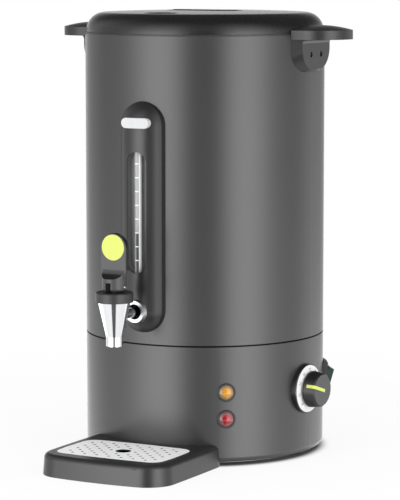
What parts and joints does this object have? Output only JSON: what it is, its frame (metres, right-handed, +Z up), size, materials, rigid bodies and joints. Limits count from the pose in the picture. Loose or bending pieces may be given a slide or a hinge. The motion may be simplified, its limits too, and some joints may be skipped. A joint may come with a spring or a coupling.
{
  "type": "hot water urn",
  "caption": "Tall double-walled hot water urn with a lift-off lid, a lever tap, a sight tube, a thermostat dial, a rocker switch and a pull-out drip tray.",
  "frame": {"origin": "on the worktop, under the axis of the urn's round body", "axes": "+Z up along the body's axis, -Y out of the front through the tap, +X to the right seen from the front"},
  "size_m": [0.372, 0.4061, 0.5073],
  "materials": {
    "casing_coat": "satin powder coat",
    "dark_moulding": "satin moulded",
    "panel_moulding": "satin moulded",
    "tray_moulding": "satin moulded",
    "stainless_sheet": "satin",
    "zinc_steel": "zinc plated",
    "valve_steel": "drawn",
    "chrome_plate": "polished",
    "nut_brass": "machined",
    "heat_aluminium": "rolled",
    "lime_inlay": "gloss moulded",
    "white_moulding": "moulded",
    "badge_foil": "satin",
    "tube_glass": "clear drawn",
    "amber_lens": "tinted moulded",
    "red_lens": "tinted moulded",
    "rocker_green": "tinted moulded",
    "silicone": "moulded",
    "foot_rubber": "moulded",
    "phenolic": "moulded",
    "red_button": "moulded",
    "wire_cover": "extruded"
  },
  "bodies": {
    "urn": {"base_casing": "casing_coat", "outer_casing": "casing_coat", "seam_ring": "dark_moulding", "inner_tank": "stainless_sheet", "mouth_rim": "dark_moulding", "base_plate": "stainless_sheet", "rubber_feet": "foot_rubber", "handle_right": "dark_moulding", "handle_left": "dark_moulding", "front_panel": "panel_moulding", "badge_plate": "badge_foil", "sight_tube": "tube_glass", "tube_fittings": "dark_moulding", "tube_cuffs": "silicone", "level_scale": "dark_moulding", "tap_body": "chrome_plate", "tap_shank": "dark_moulding", "tap_collar": "chrome_plate", "tap_washers": "silicone", "tap_nuts": "nut_brass", "tap_bonnet": "dark_moulding", "valve_spring": "valve_steel", "lamp_bezels": "dark_moulding", "lamp_lens_amber": "amber_lens", "lamp_lens_red": "red_lens", "lamp_holders": "phenolic", "dial_bezel": "dark_moulding", "dial_ring": "white_moulding", "casing_screws": "zinc_steel", "thermostat": "phenolic", "switch_frame": "dark_moulding", "switch_body": "white_moulding", "heat_plate": "heat_aluminium", "heating_element": "valve_steel", "element_strap": "stainless_sheet", "element_studs": "zinc_steel", "sensing_bulb": "valve_steel", "cutout_housing": "phenolic", "terminal_block": "white_moulding", "inner_wires": "wire_cover", "cable_gland": "dark_moulding", "gland_nut": "dark_moulding"},
    "lid_assembly": {"lid": "dark_moulding", "lid_grip": "dark_moulding", "lid_steam_vent": "dark_moulding", "lid_liner": "stainless_sheet", "lid_seal": "silicone", "lid_screws": "zinc_steel"},
    "valve": {"valve_stem": "valve_steel", "valve_cup": "silicone", "lever_pin": "chrome_plate"},
    "lever": {"tap_lever": "dark_moulding", "lever_disc": "lime_inlay"},
    "knob": {"dial_knob": "dark_moulding", "knob_pointer": "lime_inlay", "thermostat_shaft": "valve_steel"},
    "rocker": {"switch_rocker": "rocker_green"},
    "reset": {"reset_button": "red_button"},
    "tray": {"drip_tray": "tray_moulding"},
    "grille": {"drip_grille": "stainless_sheet"}
  },
  "joints": [
    {"name": "lid_lift", "type": "slide", "parent": "urn", "child": "lid_assembly", "axis": [0, 0, 1], "range_m": [0, 0.12]},
    {"name": "valve_rise", "type": "slide", "parent": "urn", "child": "valve", "axis": [0, 0, 1], "range_m": [0, 0.00522], "stiffness_N_per_m": 60, "springref_m": -0.006, "deforming": ["valve_spring"]},
    {"name": "lever_tilt", "type": "hinge", "parent": "valve", "child": "lever", "pos_m": [0, -0.199, 0.2084], "axis": [1, 0, 0], "range_deg": [0, 35]},
    {"name": "knob_turn", "type": "hinge", "parent": "urn", "child": "knob", "pos_m": [0.13774, -0.00843, 0.0783], "axis": [0.9981, -0.061, 0], "range_deg": [-207, 63]},
    {"name": "rocker_tilt", "type": "hinge", "parent": "urn", "child": "rocker", "pos_m": [0.11907, 0.0744, 0.0799], "axis": [0.5299, -0.848, 0], "range_deg": [0, 24]},
    {"name": "reset_press", "type": "slide", "parent": "urn", "child": "reset", "axis": [0, 0, 1], "range_m": [0, 0.0015], "stiffness_N_per_m": 300},
    {"name": "tray_pull", "type": "slide", "parent": "urn", "child": "tray", "axis": [0.0314, -0.9995, 0], "range_m": [0, 0.12]},
    {"name": "grille_lift", "type": "slide", "parent": "tray", "child": "grille", "axis": [0, 0, 1], "range_m": [0, 0.04]}
  ],
  "couplings": [
    {"joint": "lever_tilt", "follows": "valve_rise", "rad_per_m": 116.96}
  ]
}
